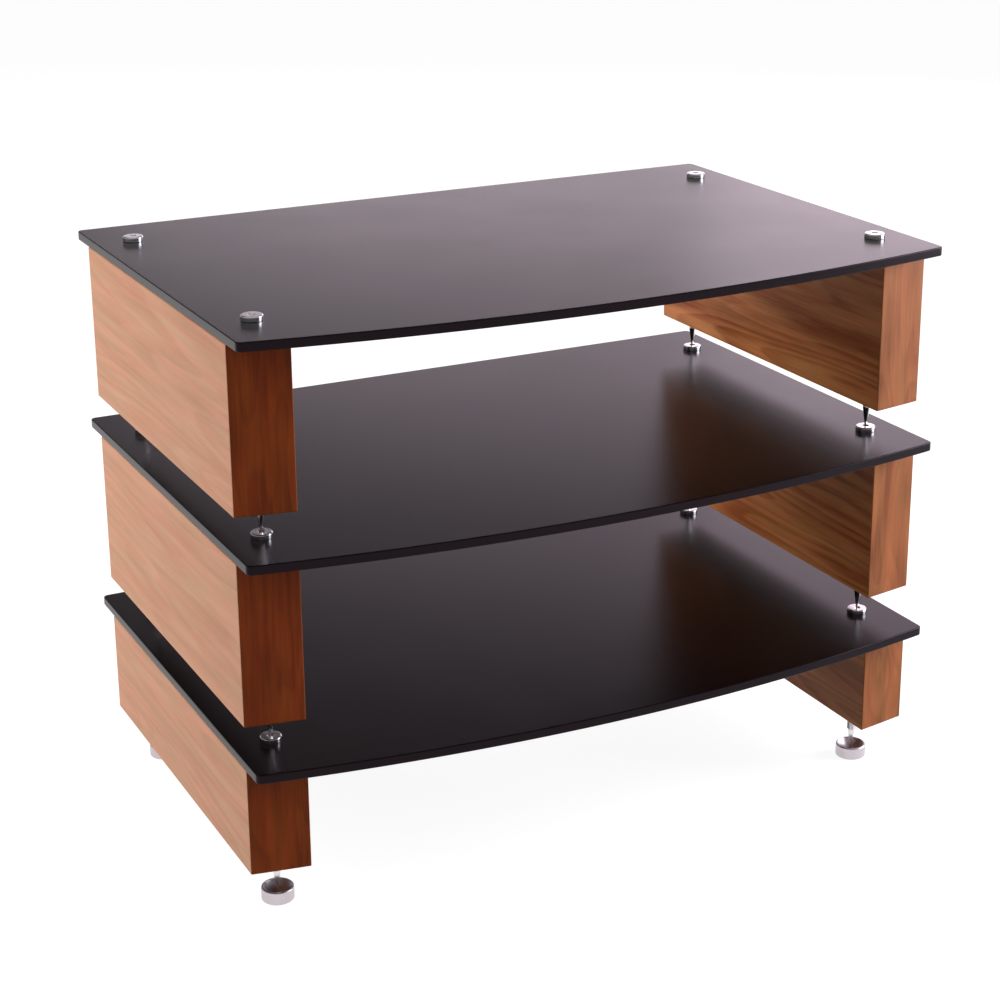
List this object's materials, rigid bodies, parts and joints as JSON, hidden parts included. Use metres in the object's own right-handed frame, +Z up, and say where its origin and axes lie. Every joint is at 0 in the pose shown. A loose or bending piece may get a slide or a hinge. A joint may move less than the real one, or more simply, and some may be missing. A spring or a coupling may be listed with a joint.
{
  "type": "audio equipment rack",
  "caption": "Low open rack of stacking tiers: thin black shelves with a bowed front on wooden side blocks, standing on levelling screws with cone tips in dimpled discs and floor cups.",
  "frame": {"origin": "on the floor, in the middle of the footprint", "axes": "+Z up, the bowed front looks along -Y, +X to the right seen from the front"},
  "size_m": [0.65, 0.454, 0.5099],
  "materials": {
    "lacquer": "board in satin black lacquer with soft reflections",
    "wood": "satin veneer, grain along the depth",
    "chrome": "polished",
    "satin_steel": "fine turned",
    "brass": "plain machined"
  },
  "bodies": {
    "bottom_tier": {"shelf_bottom": "lacquer", "block_bottom_left": "wood", "block_bottom_right": "wood", "disc_bottom_front_left": "chrome", "disc_bottom_front_right": "chrome", "disc_bottom_back_left": "chrome", "disc_bottom_back_right": "chrome", "insert_bottom_front_left": "brass", "insert_bottom_front_right": "brass", "insert_bottom_back_left": "brass", "insert_bottom_back_right": "brass"},
    "middle_tier": {"shelf_middle": "lacquer", "block_middle_left": "wood", "block_middle_right": "wood", "disc_middle_front_left": "chrome", "disc_middle_front_right": "chrome", "disc_middle_back_left": "chrome", "disc_middle_back_right": "chrome", "insert_middle_front_left": "brass", "insert_middle_front_right": "brass", "insert_middle_back_left": "brass", "insert_middle_back_right": "brass"},
    "top_tier": {"shelf_top": "lacquer", "block_top_left": "wood", "block_top_right": "wood", "disc_top_front_left": "chrome", "disc_top_front_right": "chrome", "disc_top_back_left": "chrome", "disc_top_back_right": "chrome", "insert_top_front_left": "brass", "insert_top_front_right": "brass", "insert_top_back_left": "brass", "insert_top_back_right": "brass"},
    "cup_front_left": {"floor_cup_front_left": "satin_steel"},
    "cup_front_right": {"floor_cup_front_right": "satin_steel"},
    "cup_back_left": {"floor_cup_back_left": "satin_steel"},
    "cup_back_right": {"floor_cup_back_right": "satin_steel"},
    "screw_bottom_front_left": {"screw_bottom_front_left": "chrome"},
    "screw_bottom_front_right": {"screw_bottom_front_right": "chrome"},
    "screw_bottom_back_left": {"screw_bottom_back_left": "chrome"},
    "screw_bottom_back_right": {"screw_bottom_back_right": "chrome"},
    "screw_middle_front_left": {"screw_middle_front_left": "chrome"},
    "screw_middle_front_right": {"screw_middle_front_right": "chrome"},
    "screw_middle_back_left": {"screw_middle_back_left": "chrome"},
    "screw_middle_back_right": {"screw_middle_back_right": "chrome"},
    "screw_top_front_left": {"screw_top_front_left": "chrome"},
    "screw_top_front_right": {"screw_top_front_right": "chrome"},
    "screw_top_back_left": {"screw_top_back_left": "chrome"},
    "screw_top_back_right": {"screw_top_back_right": "chrome"}
  },
  "joints": [
    {"name": "lift_middle_tier", "type": "slide", "parent": "bottom_tier", "child": "middle_tier", "axis": [0, 0, 1], "range_m": [0, 0.1]},
    {"name": "lift_top_tier", "type": "slide", "parent": "middle_tier", "child": "top_tier", "axis": [0, 0, 1], "range_m": [0, 0.1]},
    {"name": "level_front_left", "type": "slide", "parent": "bottom_tier", "child": "cup_front_left", "axis": [0, 0, 1], "range_m": [0, 0.01875]},
    {"name": "turn_front_left", "type": "hinge", "parent": "cup_front_left", "child": "screw_bottom_front_left", "pos_m": [-0.292, -0.14, 0.0058], "axis": [0, 0, 1], "range_deg": [0, 5400]},
    {"name": "level_front_right", "type": "slide", "parent": "bottom_tier", "child": "cup_front_right", "axis": [0, 0, 1], "range_m": [0, 0.01875]},
    {"name": "turn_front_right", "type": "hinge", "parent": "cup_front_right", "child": "screw_bottom_front_right", "pos_m": [0.292, -0.14, 0.0058], "axis": [0, 0, 1], "range_deg": [0, 5400]},
    {"name": "level_back_left", "type": "slide", "parent": "bottom_tier", "child": "cup_back_left", "axis": [0, 0, 1], "range_m": [0, 0.01875]},
    {"name": "turn_back_left", "type": "hinge", "parent": "cup_back_left", "child": "screw_bottom_back_left", "pos_m": [-0.292, 0.163, 0.0058], "axis": [0, 0, 1], "range_deg": [0, 5400]},
    {"name": "level_back_right", "type": "slide", "parent": "bottom_tier", "child": "cup_back_right", "axis": [0, 0, 1], "range_m": [0, 0.01875]},
    {"name": "turn_back_right", "type": "hinge", "parent": "cup_back_right", "child": "screw_bottom_back_right", "pos_m": [0.292, 0.163, 0.0058], "axis": [0, 0, 1], "range_deg": [0, 5400]},
    {"name": "wind_middle_front_left", "type": "slide", "parent": "middle_tier", "child": "screw_middle_front_left", "axis": [0, 0, 1], "range_m": [0, 0.0075]},
    {"name": "wind_middle_front_right", "type": "slide", "parent": "middle_tier", "child": "screw_middle_front_right", "axis": [0, 0, 1], "range_m": [0, 0.0075]},
    {"name": "wind_middle_back_left", "type": "slide", "parent": "middle_tier", "child": "screw_middle_back_left", "axis": [0, 0, 1], "range_m": [0, 0.0075]},
    {"name": "wind_middle_back_right", "type": "slide", "parent": "middle_tier", "child": "screw_middle_back_right", "axis": [0, 0, 1], "range_m": [0, 0.0075]},
    {"name": "wind_top_front_left", "type": "slide", "parent": "top_tier", "child": "screw_top_front_left", "axis": [0, 0, 1], "range_m": [0, 0.0075]},
    {"name": "wind_top_front_right", "type": "slide", "parent": "top_tier", "child": "screw_top_front_right", "axis": [0, 0, 1], "range_m": [0, 0.0075]},
    {"name": "wind_top_back_left", "type": "slide", "parent": "top_tier", "child": "screw_top_back_left", "axis": [0, 0, 1], "range_m": [0, 0.0075]},
    {"name": "wind_top_back_right", "type": "slide", "parent": "top_tier", "child": "screw_top_back_right", "axis": [0, 0, 1], "range_m": [0, 0.0075]}
  ],
  "couplings": [
    {"joint": "turn_front_left", "follows": "level_front_left", "rad_per_m": 5026.5},
    {"joint": "turn_front_right", "follows": "level_front_right", "rad_per_m": 5026.5},
    {"joint": "turn_back_left", "follows": "level_back_left", "rad_per_m": 5026.5},
    {"joint": "turn_back_right", "follows": "level_back_right", "rad_per_m": 5026.5}
  ]
}
